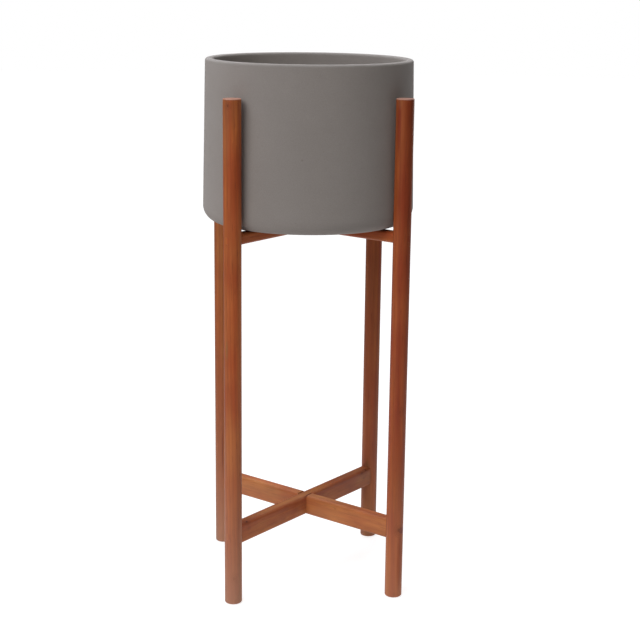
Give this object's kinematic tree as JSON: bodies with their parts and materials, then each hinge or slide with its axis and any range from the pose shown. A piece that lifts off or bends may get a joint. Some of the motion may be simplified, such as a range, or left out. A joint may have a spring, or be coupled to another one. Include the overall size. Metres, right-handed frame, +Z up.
{
  "type": "planter with stand",
  "caption": "Round matt planter pot held between the round wooden legs of a tall stand, resting on the upper of two halved crosses of bars.",
  "frame": {"origin": "floor centre below the pot's middle axis", "axes": "+Z up, front towards -Y, the four legs on the diagonals"},
  "size_m": [0.2563, 0.2564, 0.65],
  "materials": {
    "pot_ceramic": "matt",
    "leg_wood": "satin stained",
    "bar_wood": "satin stained",
    "plug_wood": "satin stained",
    "screw_steel": "zinc plated"
  },
  "bodies": {
    "stand": {"leg_front_left": "leg_wood", "leg_front_right": "leg_wood", "leg_back_right": "leg_wood", "leg_back_left": "leg_wood", "upper_bar_over": "bar_wood", "upper_bar_under": "bar_wood", "lower_bar_over": "bar_wood", "lower_bar_under": "bar_wood", "screw_upper_front_left": "screw_steel", "screw_upper_front_right": "screw_steel", "screw_upper_back_right": "screw_steel", "screw_upper_back_left": "screw_steel", "screw_lower_front_left": "screw_steel", "screw_lower_front_right": "screw_steel", "screw_lower_back_right": "screw_steel", "screw_lower_back_left": "screw_steel", "plug_upper_front_left": "plug_wood", "plug_upper_front_right": "plug_wood", "plug_upper_back_right": "plug_wood", "plug_upper_back_left": "plug_wood", "plug_lower_front_left": "plug_wood", "plug_lower_front_right": "plug_wood", "plug_lower_back_right": "plug_wood", "plug_lower_back_left": "plug_wood"},
    "pot": {"pot": "pot_ceramic"}
  },
  "joints": [
    {"name": "pot_lift", "type": "slide", "parent": "stand", "child": "pot", "axis": [0, 0, 1], "range_m": [0, 0.2]}
  ]
}
